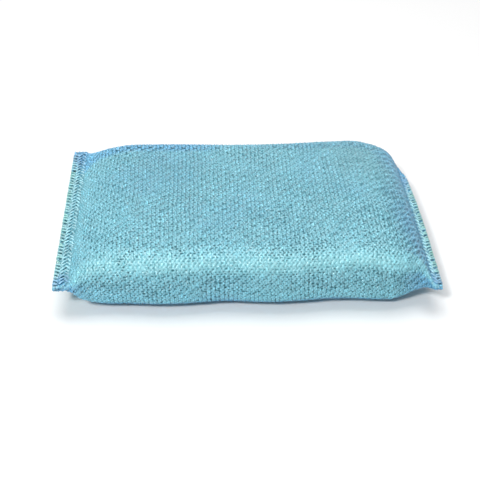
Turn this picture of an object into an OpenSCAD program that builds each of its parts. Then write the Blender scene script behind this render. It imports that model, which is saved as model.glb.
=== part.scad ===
// Scouring sponge: a soft foam pad inside a knitted tube whose two ends are stitched flat.
// X runs along the length, Y from front to back, Z up from the surface it lies on.

/* [Overall] */
// Length from one stitched end to the other
sponge_length = 135; // [110:1:160]

/* [Pad] */
// Width of the padded middle, front to back
pad_width = 81; // [70:1:95]
// Height of the padded middle at its crown
pad_height = 25; // [20:0.5:32]
// How much higher the middle of the top is than its long edges
crown = 1.4; // [0.2:0.1:3]
// Radius of the two long upper edges
upper_edge_radius = 9; // [6:0.5:10]
// Radius of the two long lower edges
lower_edge_radius = 11; // [4:0.5:11]
// How far the front edge swells out at mid length
front_swell = 0.9; // [0:0.1:3]
// How far the back edge is pulled in at mid length
back_pull_in = 1.9; // [0:0.1:4]
// Height of the shallow waves along the front and back edges
edge_wave = 0.5; // [0:0.1:1.5]
// Distance from one wave to the next along the front edge
front_wave_length = 40; // [30:1:90]
// Distance from one wave to the next along the back edge
back_wave_length = 70; // [30:1:90]
// How squarely the ends of the pad rise: 1.3 is a wedge, 3 is a blunt step
end_fullness = 1.75; // [1.3:0.05:3]
// Length of the underside's rise at each end, as a share of the top's
underside_reach = 0.75; // [0.5:0.05:1]

/* [Left end] */
// Width of the flat strip that closes the left end
left_strip_width = 5.5; // [3:0.5:10]
// Height of the middle of the left strip above the surface
left_strip_height = 12.5; // [5:0.5:14]
// Length over which the pad rises from the left strip to its full height
left_slope_length = 19.5; // [10:0.5:28]
// Length over which the pad narrows from the left strip's ears to its own width
left_ear_length = 6; // [3:0.5:14]
// Distance from the pad's centre line to the front ear of the left strip
left_front_ear = 40.5; // [34:0.5:50]
// Distance from the pad's centre line to the back ear of the left strip
left_back_ear = 45.5; // [34:0.5:52]

/* [Right end] */
// Width of the flat strip that closes the right end
right_strip_width = 3; // [2.5:0.5:10]
// Height of the middle of the right strip above the surface
right_strip_height = 11.5; // [5:0.5:14]
// Length over which the pad rises from the right strip to its full height
right_slope_length = 21; // [10:0.5:28]
// Length over which the pad narrows from the right strip's front ear to its own width
right_front_ear_length = 5; // [3:0.5:14]
// Length over which the pad widens from the tucked back ear to its own width
right_back_ear_length = 19; // [3:0.5:24]
// How far the pad's front edge is drawn in where the right front ear starts
right_front_dent = 3; // [0:0.25:4]
// Length over which that dent fades
right_dent_length = 13; // [8:0.5:20]
// Distance from the pad's centre line to the front ear of the right strip
right_front_ear = 43; // [34:0.5:50]
// Distance from the pad's centre line to the tip of the right strip's back ear, which is tucked in
right_back_ear = 26; // [20:0.5:40]
// How much wider the right strip is at its inner edge than at that tip
right_back_flare = 7; // [0:0.5:10]
// How far the right end is drawn in along the length at that tip
right_back_draw = 1.5; // [0:0.25:3]

/* [Knit] */
// Thickness of one layer of the knitted fabric
fabric_thickness = 1; // [0.7:0.1:1.4]
// Depth of the dimples between the loops
dimple_depth = 0.4; // [0.1:0.05:0.5]
// Distance between neighbouring rows of loops around the tube
row_pitch = 2.4; // [1.8:0.1:4]
// Distance between neighbouring loops along the length
loop_pitch = 2.4; // [1.8:0.1:4]

/* [Foam] */
// Room between the foam and the fabric around it
foam_clearance = 0.25; // [0.1:0.05:0.5]
// Empty space between the foam's ends and the closed ends of the tube
foam_end_gap = 4; // [2:0.5:8]

/* [End stitching] */
// Thickness of the thread that is wound over each closed end
thread_thickness = 0.6; // [0.4:0.05:0.9]
// Distance from one stitch to the next
stitch_pitch = 2; // [1.2:0.1:3]
// Distance from the stitches to the inner edge of the strip that they wrap
stitch_inset = 1; // [0.6:0.1:1.5]
// Distance from the last stitch to the tip of each ear
stitch_margin = 1; // [0.5:0.25:3]
// Room between the stitches and the fabric
thread_clearance = 0.05; // [0.02:0.01:0.15]

/* [Hidden] */

// Air between the two layers of the tube where the stitches press them together
layer_gap = 0.1;
strip_thickness = 2 * fabric_thickness + layer_gap;
// The cut ends of the tube lie inside the stitches that wrap them.
half_length = sponge_length / 2 - thread_thickness - thread_clearance;
// Where the waves of the long edges have a crest
wave_crest_x = -29;
// Where the right end starts to be drawn in, and how steeply that grows towards the back and the end
draw_start_y = -10;
draw_growth_back = 1.5;
draw_growth_end = 14;
// The largest and the smallest share of a section's height that a corner radius takes
corner_share = 0.45;
least_corner_share = 0.1;
// Steps of the outer surface across each strip and along each slope
strip_steps = 2;
slope_steps = 7;
// Steps of the inner surfaces along each slope and the middle
inner_slope_steps = 5;
inner_middle_steps = 6;
// How crowded the steps of a slope are towards its steep start
slope_crowding = 1.6;
// The most facets that the outside of the sleeve may take
facet_budget = 8600;
// Thickness between two stitches, as a share of the thread's
stitch_valley = 0.5;

// An even number of rows, so that the dimples meet where the ring closes
girth = 2 * (pad_width + pad_height) - (4 - PI) * (upper_edge_radius + lower_edge_radius);
rows_around = 2 * round(girth / row_pitch / 2);
middle_length = 2 * half_length - left_strip_width - left_slope_length - right_slope_length - right_strip_width;
steps_in_budget = floor(facet_budget / (2 * rows_around)) - 2 * (strip_steps + slope_steps);
middle_steps = min(ceil(middle_length / loop_pitch), steps_in_budget);

function mix(a, b, share) = a + (b - a) * share;

function clamp01(u) = min(1, max(0, u));

// A rise from 0 to 1 that starts steeply and levels out, as a stuffed end does
function rise(u, fullness) = pow(1 - pow(1 - clamp01(u), fullness), 1 / fullness);

// Distance inwards from the inner edge of the nearer strip
function past_strip(x) = x < 0 ? x + half_length - left_strip_width : half_length - x - right_strip_width;

// How far the pad has risen at x; gap holds an inner surface back from the closed ends
function lift(x, gap, reach = 1) =
    rise((past_strip(x) - gap) / (reach * (x < 0 ? left_slope_length : right_slope_length)), end_fullness);

// How far the outline has gone from an ear to the pad's own width, over the ear's length
function spread(x, shift, ear_length) = rise((past_strip(x) - shift) / ear_length, 2);

// The dent before the right front ear
function dent(x, shift) =
    x < 0 ? 0 : right_front_dent * (1 - clamp01((past_strip(x) - shift) / right_dent_length));

// How far a point is drawn in along the length beside the tucked back ear of the right end
function drawn_in(x, y) =
    right_back_draw * pow(clamp01(x / half_length), draw_growth_end)
    * pow(clamp01((y - draw_start_y) / (right_back_ear - draw_start_y)), draw_growth_back);

function middle_share(x) = cos(90 * x / half_length);

function wave(x, wave_length) = edge_wave * cos(360 * (x - wave_crest_x) / wave_length);

function front_line(x, shift) = mix(
    x < 0 ? -left_front_ear : -right_front_ear,
    -pad_width / 2 - front_swell * middle_share(x) - wave(x, front_wave_length) + dent(x, shift),
    spread(x, shift, x < 0 ? left_ear_length : right_front_ear_length));

// The strip's back end, which widens inwards at the right
function back_end(x, shift) =
    x < 0 ? left_back_ear :
    right_back_ear + right_back_flare * clamp01(1 + (past_strip(x) - shift) / right_strip_width);

function back_line(x, shift) = mix(
    back_end(x, shift),
    pad_width / 2 - back_pull_in * middle_share(x) + wave(x, back_wave_length),
    spread(x, shift, x < 0 ? left_ear_length : right_back_ear_length));

// The four sides of the section at x: front, back, bottom and top.
// An inner surface keeps clear of the outline within gap on both sides of x.
function front_at(x, gap) = max([for (share = [-1 : 0.5 : 1]) front_line(x, share * gap)]);

function back_at(x, gap) = min([for (share = [-1 : 0.5 : 1]) back_line(x, share * gap)]);

function strip_height(x) = x < 0 ? left_strip_height : right_strip_height;

function bottom_at(x, gap) = mix(strip_height(x) - strip_thickness / 2, 0, lift(x, gap, underside_reach));

function top_at(x, gap) = mix(strip_height(x) + strip_thickness / 2, pad_height - crown, lift(x, gap));

// A corner radius in a section that is filled to this share, moved inwards and fitted to the height left
function corner(radius, fill, inset, height) =
    min(corner_share * height, max(radius * fill - inset, least_corner_share * height));

// A point at share s of the way round a rectangle with rounded corners, from the middle of its top
function ring_point(s, front, back, low, high, upper, lower) =
    let (
        top_half = (back - front) / 2 - upper,
        bottom_run = back - front - 2 * lower,
        side = high - low - upper - lower,
        upper_arc = upper * PI / 2,
        lower_arc = lower * PI / 2,
        around = 2 * (top_half + upper_arc + side + lower_arc) + bottom_run,
        in_front = s > 0.5,
        past_top = (in_front ? 1 - s : s) * around - top_half,
        past_upper = past_top - upper_arc,
        past_side = past_upper - side,
        past_lower = past_side - lower_arc,
        upper_turn = 90 * past_top / upper_arc,
        lower_turn = 90 * past_side / lower_arc,
        // Distance inwards from the nearer long side, and height
        place =
            past_top < 0 ? [upper - past_top, high] :
            past_upper < 0 ? [upper - upper * sin(upper_turn), high - upper + upper * cos(upper_turn)] :
            past_side < 0 ? [0, high - upper - past_upper] :
            past_lower < 0 ? [lower - lower * cos(lower_turn), low + lower - lower * sin(lower_turn)] :
            [lower + past_lower, low]
    )
    [in_front ? front + place[0] : back - place[0], place[1]];

// A point of the section at x, moved inwards by inset and domed by the crown
function skin_point(s, x, inset, gap) =
    let (
        front = front_at(x, gap),
        back = back_at(x, gap),
        low = bottom_at(x, gap),
        high = top_at(x, gap),
        fill = (high - low) / (pad_height - crown),
        room = high - low - 2 * inset,
        p = ring_point(
            s, front + inset, back - inset, low + inset, high - inset,
            corner(upper_edge_radius, fill, inset, room),
            corner(lower_edge_radius, fill, inset, room)),
        across = (p[0] - (front + back) / 2) / ((back - front) / 2),
        dome = crown * lift(x, gap) * (1 - across * across) * (p[1] - low) / (high - low)
    )
    [x - drawn_in(x, p[0]), p[0], p[1] + dome];

// Even steps on the strips and in the middle, and closer ones where a slope starts.
// The stations of the middle don't depend on gap, so the surfaces follow the waves side by side.
function stations(on_strip, on_slope, in_middle, gap) =
    let (
        left_inner = -half_length + left_strip_width + gap,
        left_full = left_inner - gap + left_slope_length,
        right_inner = half_length - right_strip_width - gap,
        right_full = right_inner + gap - right_slope_length
    )
    [
        for (k = [0 : on_strip - 1]) mix(-half_length, left_inner, k / on_strip),
        for (k = [0 : on_slope - 1]) mix(left_inner, left_full, pow(k / on_slope, slope_crowding)),
        for (k = [0 : in_middle]) mix(left_full, right_full, k / in_middle),
        for (k = [on_slope - 1 : -1 : 0]) mix(right_inner, right_full, pow(k / on_slope, slope_crowding)),
        for (k = [on_strip - 1 : -1 : 0]) mix(half_length, right_inner, k / on_strip)
    ];

outer_stations = stations(strip_steps, slope_steps, middle_steps, 0);

// A point of the sleeve's outside: every second one is a dimple, staggered from ring to ring.
// The cut ends and the underside, which lies flat, have none.
function outer_point(k, j) =
    let (
        last = len(outer_stations) - 1,
        x = outer_stations[k],
        plain = skin_point(j / rows_around, x, 0, 0),
        is_dimple = (k + j) % 2 == 1 && k > 0 && k < last && plain[2] > bottom_at(x, 0) + dimple_depth
    )
    is_dimple ? skin_point(j / rows_around, x, dimple_depth, 0) : plain;

outer_rings = [
    for (k = [0 : len(outer_stations) - 1])
        [for (j = [0 : rows_around - 1]) outer_point(k, j)]
];

// The whole part is moved so that its box is centred on the origin from front to back.
outer_ys = [for (ring = outer_rings) for (point = ring) point[1]];
centring = -(min(outer_ys) + max(outer_ys)) / 2;

// The quads between neighbouring rings; a tube that turns inside out joins its last ring to its first
function ring_quads(ring_count, count, turns_back) = [
    for (k = [0 : ring_count - (turns_back ? 1 : 2)])
        for (j = [0 : count - 1])
            let (
                a = k * count + j,
                b = k * count + (j + 1) % count,
                c = (k + 1) % ring_count * count + (j + 1) % count,
                d = (k + 1) % ring_count * count + j
            )
            each [[a, b, c], [a, c, d]]
];

// A closed solid through rings that all have the same number of points, with cap as the faces of its ends
module lofted(rings, cap) {
    count = len(rings[0]);
    last = len(rings) - 1;
    near_cap = [for (face = cap) [for (i = [len(face) - 1 : -1 : 0]) face[i]]];
    far_cap = [for (face = cap) [for (i = face) last * count + i]];
    faces = concat(near_cap, ring_quads(last + 1, count, false), far_cap);
    polyhedron([for (ring = rings) each ring], faces, convexity = 6);
}

// The knitted tube: its outside from left to right, then its inside back again.
module mesh_sleeve() {
    inner = stations(1, inner_slope_steps, inner_middle_steps, fabric_thickness);
    inside = [
        for (k = [len(inner) - 1 : -1 : 0])
            [for (j = [0 : rows_around - 1]) skin_point(j / rows_around, inner[k], fabric_thickness, fabric_thickness)]
    ];
    rings = concat(outer_rings, inside);
    color([0.51, 0.745, 0.80])
        translate([0, centring, 0])
            polyhedron([for (ring = rings) each ring], ring_quads(len(rings), rows_around, true), convexity = 6);
}

// The foam: the sleeve's inside moved inwards, and held back from the closed ends
module foam_core() {
    inset = fabric_thickness + foam_clearance;
    full = stations(1, inner_slope_steps, inner_middle_steps, foam_end_gap);
    color([0.28, 0.52, 0.58])
        translate([0, centring, 0])
            lofted([
                for (k = [2 : len(full) - 3])
                    [for (j = [0 : rows_around - 1]) skin_point(j / rows_around, full[k], inset, foam_end_gap)]
            ], [[for (j = [0 : rows_around - 1]) j]]);
}

// The thread wound over the end of a strip: a channel that holds both layers, ribbed by its stitches.
// It is drawn with the strip's cut end at x = 0 and the strip running towards +X; side is -1 at the left.
module end_stitching(front_ear, back_ear, strip_width, side) {
    reach = strip_width - stitch_inset;
    span = front_ear + back_ear - 2 * stitch_margin;
    half_steps = 2 * round(span / stitch_pitch);
    inner_z = strip_thickness / 2 + thread_clearance;
    function placed(p) = [p[0] + drawn_in(side * (half_length - p[0]), p[1]), p[1], p[2]];
    function section(y, thick) = [
        [reach, y, inner_z],
        [reach, y, inner_z + thick],
        [-thread_clearance, y, inner_z + thick],
        for (turn = [45, 90]) [-thread_clearance - thick * sin(turn), y, inner_z + thick * cos(turn)],
        for (turn = [90, 45]) [-thread_clearance - thick * sin(turn), y, -inner_z - thick * cos(turn)],
        [-thread_clearance, y, -inner_z - thick],
        [reach, y, -inner_z - thick],
        [reach, y, -inner_z],
        [-thread_clearance, y, -inner_z],
        [-thread_clearance, y, inner_z]
    ];
    cap = [[0, 1, 2, 11], [11, 2, 3], [11, 3, 4], [11, 4, 5, 10], [10, 5, 6], [10, 6, 7], [10, 7, 8, 9]];
    lofted([
        for (k = [0 : half_steps])
            [for (p = section(
                -front_ear + stitch_margin + span * k / half_steps,
                thread_thickness * (k % 2 == 0 ? stitch_valley : 1))) placed(p)]
    ], cap);
}

module left_end_stitching() {
    color([0.62, 0.80, 0.78])
        translate([-half_length, centring, left_strip_height])
            end_stitching(left_front_ear, left_back_ear, left_strip_width, -1);
}

module right_end_stitching() {
    color([0.62, 0.80, 0.78])
        translate([half_length, centring, right_strip_height])
            mirror([1, 0, 0])
                end_stitching(right_front_ear, right_back_ear, right_strip_width, 1);
}

mesh_sleeve();
foam_core();
left_end_stitching();
right_end_stitching();
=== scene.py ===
# Scouring sponge: a foam pad inside a knitted tube of shiny film yarn, with both ends pressed flat and
# overlocked. The knit and the seams are modelled thread by thread. Sizes are in millimetres, until a mesh is
# made in metres.
from math import ceil, cos, pi, radians, sin, sqrt

import bpy
import numpy as np
from mathutils import Matrix, Vector


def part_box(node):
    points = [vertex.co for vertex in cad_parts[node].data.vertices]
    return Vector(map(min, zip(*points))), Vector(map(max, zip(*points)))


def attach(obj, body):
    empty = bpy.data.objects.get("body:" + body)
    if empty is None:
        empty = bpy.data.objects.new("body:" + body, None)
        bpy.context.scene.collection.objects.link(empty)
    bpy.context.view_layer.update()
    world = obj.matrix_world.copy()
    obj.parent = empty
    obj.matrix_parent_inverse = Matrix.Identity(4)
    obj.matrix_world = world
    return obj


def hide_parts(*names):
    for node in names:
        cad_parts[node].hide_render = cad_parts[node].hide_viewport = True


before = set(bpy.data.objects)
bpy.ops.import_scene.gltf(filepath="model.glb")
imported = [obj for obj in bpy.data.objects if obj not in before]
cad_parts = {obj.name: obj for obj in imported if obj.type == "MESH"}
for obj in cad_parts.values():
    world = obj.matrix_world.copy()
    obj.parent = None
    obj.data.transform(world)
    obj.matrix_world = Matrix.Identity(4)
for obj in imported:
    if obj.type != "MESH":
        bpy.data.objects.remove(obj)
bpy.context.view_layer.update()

MM = 0.001
SEED = 7
SLEEVE_HIGH = np.array(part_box("mesh_sleeve")[1]) / MM
LEFT_LOW, LEFT_HIGH = (np.array(corner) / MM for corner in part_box("left_end_stitching"))
RIGHT_LOW, RIGHT_HIGH = (np.array(corner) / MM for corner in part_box("right_end_stitching"))

# The sleeve's outer surface, with the sizes that the solids have. The last of them centres it in its box
HALF_LENGTH = SLEEVE_HIGH[0]
PAD_HEIGHT = SLEEVE_HIGH[2]
PAD_WIDTH = 81
CROWN = 1.4
UPPER_EDGE_RADIUS = 9
LOWER_EDGE_RADIUS = 11
FRONT_SWELL = 0.9
BACK_PULL_IN = 1.9
EDGE_WAVE = 0.5
FRONT_WAVE_LENGTH = 40
BACK_WAVE_LENGTH = 70
WAVE_CREST_X = -29
END_FULLNESS = 1.75
EAR_FULLNESS = 2
UNDERSIDE_REACH = 0.75
STRIP_THICKNESS = 2.1
CORNER_SHARE = 0.45
LEAST_CORNER_SHARE = 0.1
STITCH_MARGIN = 1
CENTRING = -1.167
# The right end's dent in front, and its back ear, which flares and is drawn in
RIGHT_DENT = 3
RIGHT_DENT_LENGTH = 13
RIGHT_BACK_FLARE = 7
RIGHT_BACK_DRAW = 1.5
DRAW_START_Y = -10
DRAW_GROWTH_BACK = 1.5
DRAW_GROWTH_END = 14
# One value for the left end and one for the right
STRIP_WIDTH = (5.5, 3)
STRIP_Z = ((LEFT_LOW[2] + LEFT_HIGH[2]) / 2, (RIGHT_LOW[2] + RIGHT_HIGH[2]) / 2)
SLOPE_LENGTH = (19.5, 21)
SEAM_LOW_Y = (LEFT_LOW[1], RIGHT_LOW[1])
SEAM_HIGH_Y = (LEFT_HIGH[1], RIGHT_HIGH[1])
FRONT_EAR = (LEFT_LOW[1] - STITCH_MARGIN - CENTRING, RIGHT_LOW[1] - STITCH_MARGIN - CENTRING)
BACK_EAR = (LEFT_HIGH[1] + STITCH_MARGIN - CENTRING, RIGHT_HIGH[1] + STITCH_MARGIN - CENTRING)
FRONT_EAR_LENGTH = (6, 5)
BACK_EAR_LENGTH = (6, 19)

# The grid that carries the knit, and how the crease beside a strip is smoothed on it
GRID_ALONG = 137
GRID_AROUND = 176
LINE_SAMPLES = 4001
CREASE_REACH = 3
CREASE_PASSES = 8
CREASE_STEP = 0.5

# The cloth simulation that swells the cover over its foam, on a coarser grid. It is held beside the strips
# and underneath, and its change is scaled until most points move no further than the most swell
CLOTH_SPACING = 2
CLOTH_INSET = 0.4
CLOTH_PRESSURE = 4
CLOTH_STIFFNESS = 80
CLOTH_SLACK = 0.02
CLOTH_FRAMES = 20
HELD_BESIDE_STRIP = 1
HELD_BELOW_Z = 0.3
MOST_SWELL = 0.4
MOST_POINTS_PERCENT = 99

# The knit: courses of loops round the tube, with one loop of each wale in every course
WALES = 100
COURSE_PITCH = 1.467
COVER_PIECES = 5
LOOP_REACH = 0.80
LOOP_LEAN = 0.17
LEAN_CHANGE = 0.2
LOOP_DEPTH = 0.12
POINTS_PER_STITCH = 11
YARN_SIDES = 4
# The yarn is a flat film. It is wider at a loop's heads than at its legs, on the sponge's sides, and in the
# strips, where it is pressed
YARN_WIDTH = 0.505
YARN_THICKNESS = 0.22
HEAD_WIDENING = 0.12
SIDE_WIDENING = 0.22
PRESSED_WIDENING = 0.7
PRESSED_REACH = 1.5
# Where the tint is greenish the knit is closer, with wider yarn, and its loops are drawn aside less. Where it
# is bluish the knit is more open
GREEN_WIDENING = 1.0
BLUE_NARROWING = 0.25
SNUG_DRAW = 0.8
# Every third loop of a wale is drawn aside, so that a hole opens beside it. In the next wale the holes come
# about half way between
HOLE_SPACING = 3
HOLE_STAGGER = 0.47
HOLE_DRAW = 0.24
# Differences from stitch to stitch
ROLL_SPREAD = 0.6
WIDTH_SPREAD = 0.07
SHIFT_SPREAD = 0.05
# Differences from place to place, on coarse grids along and around: how open the knit is and how it drifts
SLACK_RANGE = (0.5, 1.25)
SLACK_CELLS = (16, 24)
DRIFT_SPREAD = 0.16
DRIFT_CELLS = (14, 20)
# The yarn's tone, as a factor on its colour: uneven at random, with painted shade on a loop's legs against
# the painted highlight of its heads
LEAST_TONE = 0.86
LEG_PAINTED_SHADE = 0.70
LEG_PAINTED_SHADE_BY_TINT = 0.24
# Painted glints: a share of the loop heads painted paler, how much paler, and how far the glint reaches
GLINT_SHARE = 0.16
GLINT_TONE = 1.3
GLINT_REACH = 0.15

# Where painted sheen, highlight and shade change the tint of the yarn, in millimetres and by the way the
# surface faces, over what distance each change comes, and how strong it is: a painted greenish highlight at
# the upper front edge, painted bluish sheen at the foot, the ears and the back edge, painted bluish shade on
# the right slope, and the greenish duller patch
UPPER_SIDE_Z = 8
UPPER_EDGE_NORMAL_Z = 0.66
UPPER_EDGE_SPREAD = 0.30
FRONT_FACING_GAIN = 8
FOOT_EDGE_Z = 1.8
FOOT_EDGE_FADE = 4
FLAT_TILT = 0.15
EAR_FADE = 3
EAR_START_Y = 35
EAR_RAMP = 5
BACK_EDGE_START_Y = 25.5
BACK_EDGE_RAMP = 3
BACK_EDGE_SHEEN_BLUE = 0.3
BACK_SHEEN_BLUE = 0.75
BACK_SHEEN_END_X = 8
BACK_SHEEN_RAMP = 30
UPWARD_GAIN = 2
RIGHT_SLOPE_START_X = 50
RIGHT_SLOPE_RAMP = 11
RIGHT_SLOPE_SHADE_BLUE = 0.8
PATCH_X, PATCH_Y = 44, 18
PATCH_REACH_X, PATCH_REACH_Y = 10, 12
PATCH_GREEN = 0.45
# Where the yarn is darker or paler besides: painted shade inside the strips between the stitches of a seam,
# dimmer in the duller patch, painted light at the foot, and painted paler in the sheen of the back edge
SEAM_PAINTED_SHADE = 0.72
IN_STRIP_RAMP = 0.8
IN_SEAM_RAMP = 1.5
PATCH_DIMMING = 0.22
FOOT_HEIGHT = 13
FOOT_PAINTED_LIGHT = 0.3
BACK_SHEEN_PAINTED_LIGHT = 0.25

# The seams: threads wound round the edge, and rows of slanted stitches inside them
SEAM_PITCH = 1.95
EDGE_PITCH = (1.75, 1.45)
EDGE_REACH = (1.5, 1.2)
EDGE_SLANT = 0.35
STITCH_ROWS = (2, 1)
ROW_WIDTH = (1.7, 1.3)
ROW_GAP = 0.05
ROW_LIFT = 0.4
STITCH_SHOWN = 0.62
STITCH_RUN = 0.86
THREAD_WIDTH = 0.68
THREAD_TIP_RADIUS = 0.01
THREAD_SIDES = 6
THREAD_CLEARANCE = 0.05
THREAD_LEVEL = STRIP_THICKNESS / 2 + THREAD_CLEARANCE + THREAD_WIDTH / 2
WIND_POINTS = 24
STITCH_POINTS = 14
# A direction that no thread runs in, to measure the turn of its sides from
THREAD_SIDE_HINT = (0.13, 1, 0.07)
# Unevenness from turn to turn and from stitch to stitch: in how far they reach, which is a share at the edge
# and in millimetres in the rows, and in their place, in pitches
EDGE_REACH_SPREAD = 0.2
EDGE_PLACE_SPREAD = 0.16
ROW_REACH_SPREAD = 0.13
ROW_PLACE_SPREAD = 0.14
LEAST_THREAD_TONE = 0.74
# How greenish the thread is at the edge, before it is held to 1, over how many millimetres inwards that falls
# by 1, and the least share of it that a turn has
EDGE_GREEN = 1.3
GREEN_FADE = 1.4
LEAST_GREENNESS = 0.2
# How far the painted bluish sheen reaches along a seam from its front and its back end, and how strong it is
BLUE_FRONT = 7
BLUE_BACK = 14
SEAM_SHEEN_BLUE = 2

# The foam lies inside the surface, on a coarser grid, and ends near the strips
FOAM_INSET = 0.85
FOAM_END_GAP = 0.4
FOAM_SPACING = 2

# The share of a map's cell that is left empty between neighbouring blocks
UV_MARGIN = 0.06

# Looks. Colours are 8-bit screen values at places on a ramp, textures have waves or cells to a metre, the
# depth of a bump is in metres, and a gloss of 0.5 is plain plastic
# On the knit's ramp, the bluish stop carries painted sheen and shade and the greenish stop a painted
# highlight
KNIT_COLOURS = ((0.0, (92, 168, 224)), (0.5, (134, 210, 228)), (1.0, (150, 217, 226)))
KNIT_TINT_PLACES = (0.15, 0.85)
KNIT_PATCH_SHIFTS = (-0.08, 0.08)
KNIT_PATCH_SCALE = 30
KNIT_CRINKLE_SCALE = 2600
KNIT_ROUGHNESS = (0.12, 0.32)
KNIT_GLOSS = 0.9
KNIT_BUMP = 0.0001
FOAM_COLOURS = ((0.0, (78, 140, 154)), (1.0, (112, 174, 188)))
FOAM_CELL_SCALE = 1200
FOAM_ROUGHNESS = (0.75, 0.95)
FOAM_GLOSS = 0.3
FOAM_BUMP = 0.0003
# On the thread's ramp, the bluish stop is the painted sheen near the seam's ends
THREAD_COLOURS = ((0.0, (150, 206, 240)), (0.5, (180, 238, 250)), (1.0, (162, 230, 220)))
THREAD_FIBRE_SCALE = 1100
THREAD_FIBRE_TONES = (0.7, 1.0)
THREAD_FIBRE_RANGE = (0.35, 0.6)
THREAD_ROUGHNESS = (0.25, 0.5)
THREAD_GLOSS = 0.8
THREAD_BUMP = 0.0004
BUMP_STRENGTH = 0.5
NOISE_DETAIL = 2
# The values between which most of a noise texture lies, and those between which a tint and a share lie
NOISE_RANGE = (0.3, 0.7)
TINT_RANGE = (-1.0, 1.0)
SHARE_RANGE = (0.0, 1.0)
WHITE = (1, 1, 1, 1)

# The floor and the lamps, in metres. The floor fades to white between two distances from the middle
FLOOR_HALF = 3
FLOOR_COLOUR = (0.97, 0.97, 0.97, 1)
FLOOR_FADE = (0.22, 0.6)
WORLD_STRENGTH = 0.18
# Name, place, size and watts of each lamp
LAMPS = (("overhead", (-0.04, 0.16, 0.85), 0.65, 5.4), ("front", (-0.31, -0.56, 0.69), 0.13, 4.8))
# The camera, in millimetres
CAMERA_ELEVATION = radians(38.0)
CAMERA_AZIMUTH = radians(2.51)
CAMERA_ROLL = radians(0.40)
CAMERA_DISTANCE = 366.8
CAMERA_TARGET = (-1.69, -11.41 + CENTRING, 10)
LENS_MM = 74.4
SENSOR_MM = 36


def mix(a, b, share):
    """The value at a share of the way from a to b."""
    return a + (b - a) * share


def share_of(distance, length):
    """The share of a length that a distance makes, held between 0 and 1."""
    return np.clip(distance / length, 0, 1)


def rise(u, fullness):
    """A rise from 0 to 1 that starts steeply and levels out."""
    return (1 - (1 - np.clip(u, 0, 1)) ** fullness) ** (1 / fullness)


def unit(v):
    """Vectors brought to a length of 1."""
    return v / np.maximum(np.linalg.norm(v, axis=-1, keepdims=True), 1e-9)


def by_end(x, pair):
    """A pair's first value on the left half and its second on the right."""
    return np.where(x < 0, pair[0], pair[1])


def past_strip(x):
    """How far x lies from the strip at its end, towards the middle. It is less than 0 in the strip."""
    return HALF_LENGTH - np.abs(x) - by_end(x, STRIP_WIDTH)


def wave(x, wave_length):
    """How far a long edge wavers at x."""
    return EDGE_WAVE * np.cos(2 * pi * (x - WAVE_CREST_X) / wave_length)


def sides(x):
    """Front, back, bottom and top of the section at x, and how far the pad has risen there."""
    past = past_strip(x)
    middle_share = np.cos(pi / 2 * x / HALF_LENGTH)
    dent = np.where(x < 0, 0, RIGHT_DENT * (1 - share_of(past, RIGHT_DENT_LENGTH)))
    front = mix(
        by_end(x, FRONT_EAR),
        -PAD_WIDTH / 2 - FRONT_SWELL * middle_share - wave(x, FRONT_WAVE_LENGTH) + dent,
        rise(past / by_end(x, FRONT_EAR_LENGTH), EAR_FULLNESS))
    flare = np.where(x < 0, 0, RIGHT_BACK_FLARE * np.clip(1 + past / STRIP_WIDTH[1], 0, 1))
    back = mix(
        by_end(x, BACK_EAR) + flare,
        PAD_WIDTH / 2 - BACK_PULL_IN * middle_share + wave(x, BACK_WAVE_LENGTH),
        rise(past / by_end(x, BACK_EAR_LENGTH), EAR_FULLNESS))
    slope = by_end(x, SLOPE_LENGTH)
    lift = rise(past / slope, END_FULLNESS)
    strip_z = by_end(x, STRIP_Z)
    low = mix(strip_z - STRIP_THICKNESS / 2, 0, rise(past / (UNDERSIDE_REACH * slope), END_FULLNESS))
    high = mix(strip_z + STRIP_THICKNESS / 2, PAD_HEIGHT - CROWN, lift)
    return front, back, low, high, lift


def drawn_in(x, y):
    """How far a point is drawn in along the length beside the tucked back ear of the right end."""
    towards_end = share_of(x, HALF_LENGTH) ** DRAW_GROWTH_END
    towards_back = share_of(y - DRAW_START_Y, BACK_EAR[1] - DRAW_START_Y) ** DRAW_GROWTH_BACK
    return RIGHT_BACK_DRAW * towards_end * towards_back


def surface_points(x, s):
    """Points of the outer surface at x and at share s of the way round, from the top's middle to the back."""
    front, back, low, high, lift = sides(x)
    height = high - low
    fill = height / (PAD_HEIGHT - CROWN)
    upper, lower = (
        np.minimum(CORNER_SHARE * height, np.maximum(radius * fill, LEAST_CORNER_SHARE * height))
        for radius in (UPPER_EDGE_RADIUS, LOWER_EDGE_RADIUS))
    top_half = (back - front) / 2 - upper
    bottom_run = back - front - 2 * lower
    side = height - upper - lower
    upper_arc, lower_arc = upper * pi / 2, lower * pi / 2
    around = 2 * (top_half + upper_arc + side + lower_arc) + bottom_run
    in_front = s > 0.5
    past_top = np.where(in_front, 1 - s, s) * around - top_half
    past_upper = past_top - upper_arc
    past_side = past_upper - side
    past_lower = past_side - lower_arc
    upper_turn = past_top / upper
    lower_turn = past_side / lower
    where = [past_top < 0, past_upper < 0, past_side < 0, past_lower < 0]
    inwards = np.select(
        where,
        [upper - past_top, upper - upper * np.sin(upper_turn), 0, lower - lower * np.cos(lower_turn)],
        lower + past_lower)
    z = np.select(
        where,
        [high, high - upper + upper * np.cos(upper_turn), high - upper - past_upper,
         low + lower - lower * np.sin(lower_turn)],
        low)
    y = np.where(in_front, front + inwards, back - inwards)
    across = (y - (front + back) / 2) / ((back - front) / 2)
    dome = CROWN * lift * (1 - across ** 2) * (z - low) / height
    return np.stack(np.broadcast_arrays(x - drawn_in(x, y), y + CENTRING, z + dome), -1)


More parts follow.
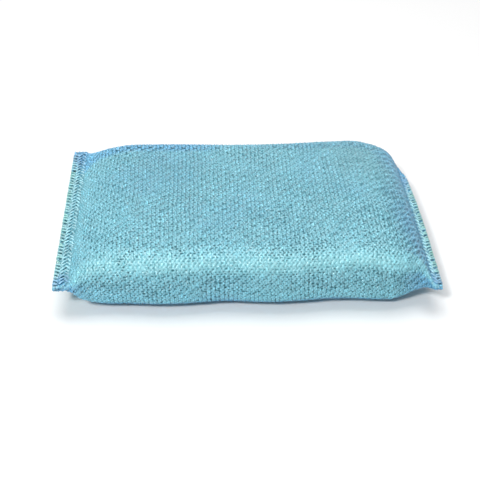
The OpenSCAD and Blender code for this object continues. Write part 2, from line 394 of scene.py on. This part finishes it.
def even_stations(count):
    """Stations that are evenly spaced along the middle of the top, and the length of that line."""
    x = np.linspace(-HALF_LENGTH, HALF_LENGTH, LINE_SAMPLES)
    line = surface_points(x, np.zeros_like(x))
    steps = np.linalg.norm(np.diff(line, axis=0), axis=1)
    length = np.concatenate([[0], np.cumsum(steps)])
    return np.interp(np.linspace(0, length[-1], count), length, x), length[-1]


def softened(grid, x):
    """The grid smoothed along the length where the slopes meet the strips, so that no sharp groove stays."""
    nearness = np.exp(-(past_strip(x) / CREASE_REACH) ** 2)[1:-1, None, None]
    grid = grid.copy()
    for _ in range(CREASE_PASSES):
        between = (grid[:-2] + grid[2:]) / 2
        grid[1:-1] += CREASE_STEP * nearness * (between - grid[1:-1])
    return grid


def normals_of(grid):
    """Outward normals of a tube's grid of points."""
    along = np.gradient(grid, axis=0)
    around = np.roll(grid, -1, 1) - np.roll(grid, 1, 1)
    return unit(np.cross(along, around))


def cubic_weights(f):
    """The weights of four values in a row on a smooth curve, at share f of the way between the middle two."""
    return np.stack([
        -0.5 * f + f ** 2 - 0.5 * f ** 3,
        1 - 2.5 * f ** 2 + 1.5 * f ** 3,
        0.5 * f + 2 * f ** 2 - 1.5 * f ** 3,
        -0.5 * f ** 2 + 0.5 * f ** 3])


def sampled(grid, a, s):
    """The grid's smooth value at share a of the way along and share s of the way round."""
    rows, columns = grid.shape[:2]
    row = np.clip(a, 0, 1) * (rows - 1)
    column = (s % 1) * columns
    r0 = np.minimum(row.astype(int), rows - 2)
    c0 = column.astype(int)
    row_weights = cubic_weights(row - r0)
    column_weights = cubic_weights(column - c0)
    total = 0
    for i in range(4):
        r = np.clip(r0 + i - 1, 0, rows - 1)
        for j in range(4):
            weight = row_weights[i] * column_weights[j]
            total = total + weight[..., None] * grid[r, (c0 + j - 1) % columns]
    return total


def placed(name, data):
    """An object of the scene that shows a mesh, a lamp or a camera."""
    thing = bpy.data.objects.new(name, data)
    bpy.context.scene.collection.objects.link(thing)
    return thing


def tube_quads(rings, sides_count, closed):
    """Quads between neighbouring rings of points, and round the end of a closed run to its start."""
    k = np.arange(rings if closed else rings - 1)[:, None]
    j = np.arange(sides_count)[None, :]
    a = k * sides_count + j
    b = k * sides_count + (j + 1) % sides_count
    c = (k + 1) % rings * sides_count + (j + 1) % sides_count
    d = (k + 1) % rings * sides_count + j
    return np.stack([a, b, c, d], -1).reshape(-1, 4)


def swollen(grid, x):
    """The grid after Blender's cloth has swelled from a slightly smaller start."""
    coarse = grid[::CLOTH_SPACING, ::CLOTH_SPACING]
    rings, count = coarse.shape[:2]
    start = coarse - CLOTH_INSET * normals_of(coarse)
    mesh = bpy.data.meshes.new("cloth_start")
    mesh.from_pydata((start.reshape(-1, 3) * MM).tolist(), [], tube_quads(rings, count, False).tolist())
    cloth = placed("cloth_start", mesh)
    beside_strip = past_strip(x[::CLOTH_SPACING])[:, None] < HELD_BESIDE_STRIP
    held = beside_strip | (coarse[..., 2] < HELD_BELOW_Z)
    group = cloth.vertex_groups.new(name="held")
    group.add(np.flatnonzero(held.ravel()).tolist(), 1.0, "REPLACE")
    modifier = cloth.modifiers.new("cloth", "CLOTH")
    settings = modifier.settings
    settings.vertex_group_mass = group.name
    settings.tension_stiffness = CLOTH_STIFFNESS
    settings.compression_stiffness = CLOTH_STIFFNESS
    settings.use_pressure = True
    settings.uniform_pressure_force = CLOTH_PRESSURE
    settings.shrink_min = -CLOTH_SLACK
    settings.effector_weights.gravity = 0
    modifier.collision_settings.use_collision = False
    for frame_number in range(1, CLOTH_FRAMES + 1):
        bpy.context.scene.frame_set(frame_number)
    result = cloth.evaluated_get(bpy.context.evaluated_depsgraph_get()).data
    settled = np.empty(rings * count * 3, np.float32)
    result.vertices.foreach_get("co", settled)
    bpy.context.scene.frame_set(1)
    bpy.data.objects.remove(cloth)
    bpy.data.meshes.remove(mesh)
    change = settled.reshape(rings, count, 3) / MM - coarse
    size = np.linalg.norm(change, axis=-1)
    change *= min(1, MOST_SWELL / np.percentile(size, MOST_POINTS_PERCENT))
    along, around = np.meshgrid(
        np.linspace(0, 1, len(grid)), np.arange(grid.shape[1]) / grid.shape[1], indexing="ij")
    moved = grid + sampled(change, along, around)
    moved[..., 2] = np.maximum(moved[..., 2], grid[..., 2].min())
    return moved


def new_object(name, points, quads, uvs, **values):
    """A smooth mesh of quads, with points in millimetres, its map and named values at its points."""
    mesh = bpy.data.meshes.new(name)
    mesh.vertices.add(len(points))
    mesh.vertices.foreach_set("co", (np.asarray(points) * MM).astype(np.float32).ravel())
    mesh.loops.add(len(quads) * 4)
    mesh.loops.foreach_set("vertex_index", np.asarray(quads, np.int32).ravel())
    mesh.polygons.add(len(quads))
    mesh.polygons.foreach_set("loop_start", np.arange(len(quads), dtype=np.int32) * 4)
    mesh.update(calc_edges=True)
    mesh.polygons.foreach_set("use_smooth", np.ones(len(quads), bool))
    layer = mesh.uv_layers.new(name="OFBake")
    layer.data.foreach_set("uv", np.asarray(uvs, np.float32).ravel())
    for key, value in values.items():
        attribute = mesh.attributes.new(key, "FLOAT", "POINT")
        attribute.data.foreach_set("value", np.asarray(value, np.float32).ravel())
    mesh.validate()
    return placed(name, mesh)


def block_uvs(blocks, rings, around):
    """A rectangle of the map for each block of a tube, with a cell for each of its faces."""
    columns = ceil(sqrt(blocks * around / rings))
    rows = ceil(blocks / columns)
    block = np.arange(blocks)
    corner = np.stack([block % columns / columns, block // columns / rows], -1)
    k, j = np.meshgrid(np.arange(rings), np.arange(around), indexing="ij")
    cell = np.stack([
        np.stack([k, j], -1), np.stack([k, j + 1], -1),
        np.stack([k + 1, j + 1], -1), np.stack([k + 1, j], -1)], 2)
    size = np.array([(1 - UV_MARGIN) / columns / rings, (1 - UV_MARGIN) / rows / around])
    return (corner[:, None, None, None] + cell[None] * size).reshape(-1, 2)


def axes(points):
    """The x, y and z of an array of points."""
    return points[..., 0], points[..., 1], points[..., 2]


def dull_patch(points):
    """1 in the middle of the duller patch at the right of the top, falling to 0 round it."""
    x, y, z = axes(points)
    away = ((x - PATCH_X) / PATCH_REACH_X) ** 2 + ((y - PATCH_Y) / PATCH_REACH_Y) ** 2
    return np.exp(-away) * (z > UPPER_SIDE_Z)


def at_back_edge(points):
    """1 along the upper back edge and behind it, falling to 0 in front of it."""
    _, y, z = axes(points)
    return share_of(y - BACK_EDGE_START_Y, BACK_EDGE_RAMP) * (z > UPPER_SIDE_Z)


def back_sheen(points, normals):
    """1 along the left half of the upper back edge, where a sheen is painted, falling to 0 round it."""
    on_left = share_of(BACK_SHEEN_END_X - points[..., 0], BACK_SHEEN_RAMP)
    return on_left * np.clip(UPWARD_GAIN * normals[..., 2], 0, 1) * at_back_edge(points)


def tint_and_sheen_of(points, normals):
    """From -1, painted bluish sheen and shade at the foot, ears, back edge and right slope, to 1, a painted
    greenish highlight at the upper front.
    """
    x, y, z = axes(points)
    _, normal_y, normal_z = axes(normals)
    # Painted highlight: greenish where the upper edge turns towards the front
    at_edge = np.exp(-((normal_z - UPPER_EDGE_NORMAL_Z) / UPPER_EDGE_SPREAD) ** 2)
    upper_front_highlight = at_edge * np.clip(-FRONT_FACING_GAIN * normal_y, 0, 1) * (z > UPPER_SIDE_Z)
    # Painted bluish sheen along the foot, at the ears and along the upper back edge
    foot = np.clip(1 - (z - FOOT_EDGE_Z) / FOOT_EDGE_FADE, 0, 1) * share_of(1 - np.abs(normal_z), FLAT_TILT)
    near_strip = np.exp(-np.clip(past_strip(x), 0, None) / EAR_FADE)
    ear = near_strip * share_of(np.abs(y - CENTRING) - EAR_START_Y, EAR_RAMP)
    back_edge_sheen = np.maximum(
        BACK_EDGE_SHEEN_BLUE * at_back_edge(points), BACK_SHEEN_BLUE * back_sheen(points, normals))
    # Painted shade: the right slope is bluer
    right_slope_shade = RIGHT_SLOPE_SHADE_BLUE * share_of(x - RIGHT_SLOPE_START_X, RIGHT_SLOPE_RAMP)
    green = np.maximum(upper_front_highlight, PATCH_GREEN * dull_patch(points))
    return green - np.maximum.reduce([foot, ear, back_edge_sheen, right_slope_shade])


def shade_of(points, normals):
    """A factor on the yarn's colour: below 1 in the patch and for painted shade in the seams, above 1 for
    painted light at the foot and behind.
    """
    x, y, z = axes(points)
    # Painted shade inside the strips, between the seam's stitches
    in_strip = share_of(-past_strip(x), IN_STRIP_RAMP)
    to_seam_end = np.minimum(y - by_end(x, SEAM_LOW_Y), by_end(x, SEAM_HIGH_Y) - y)
    in_seam = share_of(to_seam_end, IN_SEAM_RAMP)
    at_foot = share_of(FOOT_HEIGHT - z, FOOT_HEIGHT)
    dimmed = (1 - (1 - SEAM_PAINTED_SHADE) * in_strip * in_seam) * (1 - PATCH_DIMMING * dull_patch(points))
    # Painted light at the foot and in the sheen of the back edge
    return dimmed * (1 + FOOT_PAINTED_LIGHT * at_foot) * (1 + BACK_SHEEN_PAINTED_LIGHT * back_sheen(points, normals))


def from_stitch_to_stitch(t, values):
    """Values at the starts of the stitches, joined by straight lines and read at t stitches along."""
    return np.interp(t, np.arange(len(values)), values)


def course_ring(c):
    """One course of loops round the tube: its centre line, normals, roll, width, tint and shade."""
    t = np.arange(WALES * POINTS_PER_STITCH) / POINTS_PER_STITCH
    turn = 2 * pi * t
    rough_a = np.full_like(t, (c + 0.5) / courses)
    ease = sampled(slack, rough_a, t / WALES)[:, 0]
    wander = sampled(drift, rough_a, t / WALES)
    hue = sampled(tint, rough_a, t / WALES)[:, 0]
    phase = 2 * pi * (c / HOLE_SPACING + HOLE_STAGGER * t)
    draw = HOLE_DRAW * ease * (1 - SNUG_DRAW * hue)
    shift = rng.normal(0, SHIFT_SPREAD, WALES).repeat(POINTS_PER_STITCH)
    lean = LOOP_LEAN * (1 + LEAN_CHANGE * ease * np.sin(phase))
    s = (t + lean * np.sin(2 * turn) + draw * np.cos(phase) + wander[:, 0]) / WALES
    a = (c + 0.5 + LOOP_REACH * np.cos(turn) + shift + wander[:, 1]) / courses
    point = sampled(surface, a, s)
    normal = unit(sampled(surface_normals, a, s))
    depth = LOOP_DEPTH * (np.cos(2 * turn) - 1) - YARN_THICKNESS / 2
    roll = from_stitch_to_stitch(t, np.append(rng.normal(0, ROLL_SPREAD, WALES), 0))
    spread = 1 + HEAD_WIDENING * np.cos(2 * turn) + SIDE_WIDENING * (1 - np.abs(normal[:, 2]))
    pressed = np.clip(1 - past_strip(point[:, 0]) / PRESSED_REACH, 0, 1)
    spread += mix(np.where(hue > 0, GREEN_WIDENING, BLUE_NARROWING) * hue, PRESSED_WIDENING, pressed)
    knots = rng.normal(0, WIDTH_SPREAD, WALES)
    width = YARN_WIDTH * (spread + from_stitch_to_stitch(t, np.append(knots, knots[0])))
    return point + depth[:, None] * normal, normal, roll, width, hue, sampled(shade, a, s)[:, 0]


def yarn(centre, normal, roll, width, thickness):
    """A ribbon round a closed centre line, kept above the floor: four corners to each ring."""
    tangent = unit(np.roll(centre, -1, 0) - np.roll(centre, 1, 0))
    across = unit(np.cross(tangent, normal))
    up = np.cross(across, tangent)
    c, s = np.cos(roll)[:, None], np.sin(roll)[:, None]
    wide = (across * c + up * s) * width[:, None] / 2
    high = (up * c - across * s) * thickness / 2
    tube = np.stack([
        centre + wide + high, centre - wide + high, centre - wide - high, centre + wide - high], 1)
    tube[..., 2] = np.maximum(tube[..., 2], 0)
    return tube


def stitch_tones(hue):
    """The tone along a course: uneven from stitch to stitch, with painted shade on the legs and painted
    glints on some heads.
    """
    along = np.arange(len(hue)) / POINTS_PER_STITCH
    tone = (LEAST_TONE + (1 - LEAST_TONE) * rng.random(WALES)).repeat(POINTS_PER_STITCH)
    # Painted highlight on the loop's heads and painted shade on its legs
    head_share = np.cos(2 * pi * np.arange(len(hue)) / POINTS_PER_STITCH) ** 2
    tone *= mix(LEG_PAINTED_SHADE + LEG_PAINTED_SHADE_BY_TINT * hue, 1, head_share)
    from_head = np.abs((along + 0.5) % 1 - 0.5)
    # Painted glints on some of the heads
    glinting = (rng.random(WALES) < GLINT_SHARE).repeat(POINTS_PER_STITCH) & (from_head < GLINT_REACH)
    return tone * np.where(glinting, GLINT_TONE, 1)


def cover_piece(name, first, last):
    """A band of the cover, from its first course up to the next band's."""
    rings, quads, tones, tints, offset = [], [], [], [], 0
    for c in range(first, last):
        centre, normal, roll, width, hue, shading = course_ring(c)
        tube = yarn(centre, normal, roll, width, YARN_THICKNESS)
        rings.append(tube.reshape(-1, 3))
        quads.append(tube_quads(len(centre), YARN_SIDES, True) + offset)
        tones.append((stitch_tones(hue) * shading).repeat(YARN_SIDES))
        tints.append(hue.repeat(YARN_SIDES))
        offset += len(centre) * YARN_SIDES
    return new_object(
        name, np.concatenate(rings), np.concatenate(quads),
        block_uvs((last - first) * WALES, POINTS_PER_STITCH, YARN_SIDES),
        tone=np.concatenate(tones), tint=np.concatenate(tints))


def foam_block():
    """The foam: the surface moved inwards, closed where it thins out towards the strips."""
    inside = [k for k, x in enumerate(stations) if past_strip(x) > FOAM_END_GAP][::FOAM_SPACING]
    grid = (surface - FOAM_INSET * surface_normals)[inside][:, ::FOAM_SPACING]
    rings, count = grid.shape[:2]
    quads = [tube_quads(rings, count, False)]
    j = np.arange(1, count // 2 - 1)
    for base, turned in ((0, False), ((rings - 1) * count, True)):
        cap = np.stack([j, (count - j) % count, (count - j - 1) % count, j + 1], -1) + base
        quads.append(cap[:, ::-1] if turned else cap)
    quads = np.concatenate(quads)
    return new_object("foam_block", grid.reshape(-1, 3), quads, block_uvs(len(quads), 1, 1))


def thread_tube(centre):
    """A round thread along an open centre line, closed to a point at both ends."""
    tangent = unit(np.gradient(centre, axis=0))
    side = unit(np.cross(tangent, THREAD_SIDE_HINT))
    other = np.cross(side, tangent)
    turn = 2 * pi * np.arange(THREAD_SIDES) / THREAD_SIDES
    ring = side[:, None] * np.cos(turn)[None, :, None] + other[:, None] * np.sin(turn)[None, :, None]
    radius = np.full(len(centre), THREAD_WIDTH / 2)
    radius[[0, -1]] = THREAD_TIP_RADIUS
    return centre[:, None] + ring * radius[:, None, None]


def winding(end, length):
    """A thread wound round the edge and through the cloth: how far in it lies, along and up."""
    reach = EDGE_REACH[end]
    turns = int(length / EDGE_PITCH[end])
    round_edge = pi * THREAD_LEVEL
    total = 2 * reach + round_edge + 2 * THREAD_LEVEL
    t = np.arange(turns * WIND_POINTS + 1) / WIND_POINTS
    jitter = from_stitch_to_stitch(t, rng.normal(0, 1, turns + 1))
    gone = t % 1 * total
    angle = (gone - reach) / round_edge * pi
    bulge = THREAD_CLEARANCE + THREAD_WIDTH / 2
    where = [gone < reach, gone < reach + round_edge, gone < 2 * reach + round_edge]
    inwards = np.select(where, [reach - gone, -bulge * np.sin(angle), gone - reach - round_edge], reach)
    z = np.select(
        where, [THREAD_LEVEL, THREAD_LEVEL * np.cos(angle), -THREAD_LEVEL], gone - total + THREAD_LEVEL)
    smooth = (np.roll(inwards, 1) + 2 * inwards + np.roll(inwards, -1)) / 4
    smooth[[0, -1]] = inwards[[0, -1]]
    slant = EDGE_SLANT * np.sin(2 * pi * (t % 1)) * EDGE_PITCH[end] / 2
    along = EDGE_PITCH[end] * (t + EDGE_PLACE_SPREAD * jitter) + slant
    return smooth * (1 + EDGE_REACH_SPREAD * jitter), along, z


def stitch_row(outer, row_width, length, upper, slants_in, start):
    """A row of slanted stitches on one face: each crosses it above the cloth and comes back beneath it."""
    count = int(length / SEAM_PITCH - start)
    t = np.arange(count * STITCH_POINTS + 1) / STITCH_POINTS
    jitter = from_stitch_to_stitch(t, rng.normal(0, 1, count + 1))
    part = t % 1
    shown = part < STITCH_SHOWN
    over, back = part / STITCH_SHOWN, (part - STITCH_SHOWN) / (1 - STITCH_SHOWN)
    across = np.where(shown, over, 1 - back)
    along = np.floor(t) + np.where(shown, STITCH_RUN * over, mix(STITCH_RUN, 1, back))
    arch = np.where(shown, np.sqrt(np.sin(pi * np.clip(over, 0, 1))), -np.sin(pi * back))
    z = THREAD_LEVEL - ROW_LIFT + ROW_LIFT * arch
    inwards = outer + row_width * (across if slants_in else 1 - across) + ROW_REACH_SPREAD * jitter
    return inwards, SEAM_PITCH * (start + along + ROW_PLACE_SPREAD * jitter), z if upper else -z


def thread_tints(inwards, along, length):
    """Greenish at the edge, more or less from turn to turn, and a painted bluish sheen near both ends of the
    seam.
    """
    greenness = rng.uniform(LEAST_GREENNESS, 1, len(along) // WIND_POINTS + 1)
    at_edge = np.clip(EDGE_GREEN - inwards / GREEN_FADE, 0, 1)
    sheen_blueness = np.clip(1 - along / BLUE_FRONT, 0, 1) + np.clip(1 - (length - along) / BLUE_BACK, 0, 1)
    return np.clip(at_edge * greenness.repeat(WIND_POINTS)[:len(along)] - SEAM_SHEEN_BLUE * sheen_blueness, -1, 1)


def thread_tones(count):
    """The tone along a thread of so many points, which changes from stretch to stretch."""
    tones = rng.uniform(LEAST_THREAD_TONE, 1, count // STITCH_POINTS + 2)
    return from_stitch_to_stitch(np.arange(count) / STITCH_POINTS, tones)


def overlock(name, end, low, high):
    """The seam over one closed end: a wound edge, and rows of slanted stitches on both faces."""
    side = -1 if end == 0 else 1
    low_y, high_y = low[1] + THREAD_WIDTH / 2, high[1] - THREAD_WIDTH / 2
    length = high_y - low_y
    threads = [winding(end, length)]
    for row in range(STITCH_ROWS[end]):
        outer = EDGE_REACH[end] + ROW_GAP + row * ROW_WIDTH[end]
        for upper in (True, False):
            threads.append(stitch_row(outer, ROW_WIDTH[end], length, upper, row % 2 == 0, row / 2))
    points, quads, tints, tones, blocks, offset = [], [], [], [], 0, 0
    for inwards, along, z in threads:
        x = side * (HALF_LENGTH - inwards)
        y = low_y + along
        tube = thread_tube(np.stack([x - drawn_in(x, y - CENTRING), y, STRIP_Z[end] + z], -1))
        points.append(tube.reshape(-1, 3))
        quads.append(tube_quads(len(tube), THREAD_SIDES, False) + offset)
        tints.append(thread_tints(inwards, along, length).repeat(THREAD_SIDES))
        tones.append(thread_tones(len(tube)).repeat(THREAD_SIDES))
        blocks += len(tube) - 1
        offset += len(tube) * THREAD_SIDES
    return new_object(
        name, np.concatenate(points), np.concatenate(quads), block_uvs(blocks, 1, THREAD_SIDES),
        tint=np.concatenate(tints), tone=np.concatenate(tones))


def material(name):
    """A new material, and its empty node tree."""
    made = bpy.data.materials.new(name)
    made.use_nodes = True
    made.node_tree.nodes.clear()
    return made, made.node_tree


def add_node(tree, kind, inputs=None, **settings):
    """A node with its settings, and with inputs that are each a value or another node's output."""
    made = tree.nodes.new(kind)
    for key, value in settings.items():
        setattr(made, key, value)
    for key, value in (inputs or {}).items():
        if isinstance(value, bpy.types.NodeSocket):
            tree.links.new(value, made.inputs[key])
        else:
            made.inputs[key].default_value = value
    return made


def calculated(tree, operation, a, b):
    """The result of a sum, a product or another operation on two values."""
    return add_node(tree, "ShaderNodeMath", {0: a, 1: b}, operation=operation).outputs["Value"]


def multiplied(tree, a, b):
    """A colour multiplied by another colour or by a value."""
    inputs = {"Factor": 1, "A": a, "B": b}
    return add_node(tree, "ShaderNodeMix", inputs, data_type="RGBA", blend_type="MULTIPLY").outputs["Result"]


def ranged(tree, source, to_range, from_range):
    """A value brought from one range to another, and held in it."""
    return add_node(tree, "ShaderNodeMapRange", {
        "Value": source, "From Min": from_range[0], "From Max": from_range[1],
        "To Min": to_range[0], "To Max": to_range[1]}).outputs["Result"]


def attribute(tree, name):
    """A value that the mesh has at its points."""
    return add_node(tree, "ShaderNodeAttribute", attribute_name=name).outputs["Fac"]


def on_object(tree):
    """Places measured on the object."""
    return add_node(tree, "ShaderNodeTexCoord").outputs["Object"]


def noise(tree, scale):
    """A noise texture that is fixed to the object."""
    inputs = {"Vector": on_object(tree), "Scale": scale, "Detail": NOISE_DETAIL}
    return add_node(tree, "ShaderNodeTexNoise", inputs).outputs["Fac"]


def srgb(r, g, b):
    """A linear colour from 8-bit screen values."""
    shares = (v / 255 for v in (r, g, b))
    return tuple(v / 12.92 if v <= 0.04045 else ((v + 0.055) / 1.055) ** 2.4 for v in shares) + (1,)


def ramp(tree, source, stops):
    """A colour ramp over a value, from its stops' places and colours."""
    made = add_node(tree, "ShaderNodeValToRGB", {"Fac": source})
    elements = made.color_ramp.elements
    for element, (place, colour) in zip(elements, (stops[0], stops[-1])):
        element.position = place
        element.color = srgb(*colour)
    for place, colour in stops[1:-1]:
        elements.new(place).color = srgb(*colour)
    return made.outputs["Color"]


def finish_surface(tree, shader):
    """The output of a material."""
    add_node(tree, "ShaderNodeOutputMaterial", {"Surface": shader})


def shaded(tree, colour, roughness, gloss, height, bump_distance):
    """The shader of a surface that is bumped by a height."""
    bump = add_node(tree, "ShaderNodeBump", {
        "Strength": BUMP_STRENGTH, "Distance": bump_distance, "Height": height})
    shader = add_node(tree, "ShaderNodeBsdfPrincipled", {
        "Base Color": colour, "Roughness": roughness, "Specular IOR Level": gloss,
        "Normal": bump.outputs["Normal"]})
    finish_surface(tree, shader.outputs["BSDF"])


def knit_material():
    """Shiny crinkled film yarn, turquoise, a little bluer or greener at random, with painted sheen, shade and
    glints.
    """
    made, tree = material("film_yarn")
    crinkles = noise(tree, KNIT_CRINKLE_SCALE)
    tint_place = ranged(tree, attribute(tree, "tint"), KNIT_TINT_PLACES, TINT_RANGE)
    patch_shift = ranged(tree, noise(tree, KNIT_PATCH_SCALE), KNIT_PATCH_SHIFTS, NOISE_RANGE)
    colour = ramp(tree, calculated(tree, "ADD", tint_place, patch_shift), KNIT_COLOURS)
    colour = multiplied(tree, colour, attribute(tree, "tone"))
    roughness = ranged(tree, crinkles, KNIT_ROUGHNESS, NOISE_RANGE)
    shaded(tree, colour, roughness, KNIT_GLOSS, crinkles, KNIT_BUMP)
    return made


def foam_material():
    """Open-celled foam, a little paler at the walls of its cells."""
    made, tree = material("open_cell_foam")
    inputs = {"Vector": on_object(tree), "Scale": FOAM_CELL_SCALE}
    cells = add_node(tree, "ShaderNodeTexVoronoi", inputs).outputs["Distance"]
    roughness = ranged(tree, cells, FOAM_ROUGHNESS, SHARE_RANGE)
    shaded(tree, ramp(tree, cells, FOAM_COLOURS), roughness, FOAM_GLOSS, cells, FOAM_BUMP)
    return made


def thread_material():
    """The same film spun into thread, paler, greenish where it wraps the edge, with a painted bluish sheen
    near the ears.
    """
    made, tree = material("seam_thread")
    fibres = noise(tree, THREAD_FIBRE_SCALE)
    colour = ramp(tree, ranged(tree, attribute(tree, "tint"), SHARE_RANGE, TINT_RANGE), THREAD_COLOURS)
    fibre_tone = ranged(tree, fibres, THREAD_FIBRE_TONES, THREAD_FIBRE_RANGE)
    colour = multiplied(tree, multiplied(tree, colour, fibre_tone), attribute(tree, "tone"))
    roughness = ranged(tree, fibres, THREAD_ROUGHNESS, NOISE_RANGE)
    shaded(tree, colour, roughness, THREAD_GLOSS, fibres, THREAD_BUMP)
    return made


def looked_at(tree):
    """1 for the rays of the camera, of reflections and through glass, and 0 for those that carry light."""
    ray = add_node(tree, "ShaderNodeLightPath")
    total = ray.outputs["Is Camera Ray"]
    for name in ("Is Glossy Ray", "Is Transmission Ray"):
        total = calculated(tree, "MAXIMUM", total, ray.outputs[name])
    return total


def mixed(tree, share, first, second):
    """Two shaders mixed by a share of the second."""
    return add_node(tree, "ShaderNodeMixShader", {"Fac": share, 1: first, 2: second}).outputs["Shader"]


def floor_material():
    """A pale matt floor, which fades to the white backdrop far from the sponge."""
    made, tree = material("floor")
    place = add_node(tree, "ShaderNodeNewGeometry").outputs["Position"]
    away = add_node(tree, "ShaderNodeVectorMath", {0: place}, operation="LENGTH").outputs["Value"]
    white_share = calculated(tree, "MULTIPLY", ranged(tree, away, SHARE_RANGE, FLOOR_FADE), looked_at(tree))
    matt = add_node(tree, "ShaderNodeBsdfDiffuse", {"Color": FLOOR_COLOUR}).outputs["BSDF"]
    white = add_node(tree, "ShaderNodeEmission", {"Color": WHITE, "Strength": 1}).outputs["Emission"]
    finish_surface(tree, mixed(tree, white_share, matt, white))
    return made


def fitted(piece, look, node):
    """A piece with its material, riding on the one body in place of a node's solid."""
    piece.data.materials.append(look)
    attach(piece, "root")
    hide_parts(node)


# The cover's surface, and what changes over it
stations, top_length = even_stations(GRID_ALONG)
shares = np.arange(GRID_AROUND) / GRID_AROUND
surface = softened(surface_points(stations[:, None], shares[None, :]), stations)
surface = swollen(surface, stations)
surface_normals = normals_of(surface)
courses = round(top_length / COURSE_PITCH)
tint = tint_and_sheen_of(surface, surface_normals)[..., None]
shade = shade_of(surface, surface_normals)[..., None]
rng = np.random.default_rng(SEED)
slack = rng.uniform(*SLACK_RANGE, (*SLACK_CELLS, 1))
drift = rng.normal(0, DRIFT_SPREAD, (*DRIFT_CELLS, 2))

film_yarn = knit_material()
open_cell_foam = foam_material()
seam_thread = thread_material()

# The cover, in bands along the length
bands = [round(courses * k / COVER_PIECES) for k in range(COVER_PIECES + 1)]
for k in range(COVER_PIECES):
    cover = cover_piece(f"mesh_cover_{k + 1}", bands[k], bands[k + 1])
    fitted(cover, film_yarn, "mesh_sleeve")

foam = foam_block()
fitted(foam, open_cell_foam, "foam_core")

fitted(overlock("left_overlock", 0, LEFT_LOW, LEFT_HIGH), seam_thread, "left_end_stitching")
fitted(overlock("right_overlock", 1, RIGHT_LOW, RIGHT_HIGH), seam_thread, "right_end_stitching")

# The floor
floor_mesh = bpy.data.meshes.new("floor")
floor_mesh.from_pydata(
    [(-FLOOR_HALF, -FLOOR_HALF, 0), (FLOOR_HALF, -FLOOR_HALF, 0), (FLOOR_HALF, FLOOR_HALF, 0),
     (-FLOOR_HALF, FLOOR_HALF, 0)], [], [(0, 1, 2, 3)])
floor_mesh.materials.append(floor_material())
floor = placed("floor", floor_mesh)

# Soft light: a white surround, which looks white itself, a large lamp overhead and a smaller one in front
world = bpy.data.worlds.new("surround")
bpy.context.scene.world = world
world.use_nodes = True
surround = world.node_tree
light_source = surround.nodes["Background"]
light_source.inputs["Color"].default_value = WHITE
light_source.inputs["Strength"].default_value = WORLD_STRENGTH
backdrop = add_node(surround, "ShaderNodeBackground", {"Color": WHITE, "Strength": 1})
shown = mixed(
    surround, looked_at(surround), light_source.outputs["Background"], backdrop.outputs["Background"])
surround.links.new(shown, surround.nodes["World Output"].inputs["Surface"])
for name, place, size, power in LAMPS:
    lamp_data = bpy.data.lights.new(name, "AREA")
    lamp_data.shape = "SQUARE"
    lamp_data.size = size
    lamp_data.energy = power
    lamp = placed(name, lamp_data)
    lamp.location = place
    lamp.rotation_euler = (-Vector(place)).to_track_quat("-Z", "Y").to_euler()

# The camera, at the photograph's viewing angle
camera_data = bpy.data.cameras.new("camera")
camera_data.lens = LENS_MM
camera_data.sensor_width = SENSOR_MM
camera = placed("camera", camera_data)
forward = Vector((
    sin(CAMERA_AZIMUTH) * cos(CAMERA_ELEVATION),
    cos(CAMERA_AZIMUTH) * cos(CAMERA_ELEVATION),
    -sin(CAMERA_ELEVATION)))
level = Vector((cos(CAMERA_AZIMUTH), -sin(CAMERA_AZIMUTH), 0))
upright = level.cross(forward)
right = level * cos(CAMERA_ROLL) + upright * sin(CAMERA_ROLL)
up = upright * cos(CAMERA_ROLL) - level * sin(CAMERA_ROLL)
camera.matrix_world = Matrix.Translation((Vector(CAMERA_TARGET) - forward * CAMERA_DISTANCE) * MM) @ Matrix(
    (right, up, -forward)).transposed().to_4x4()
bpy.context.scene.camera = camera
bpy.context.scene.view_settings.view_transform = "Standard"
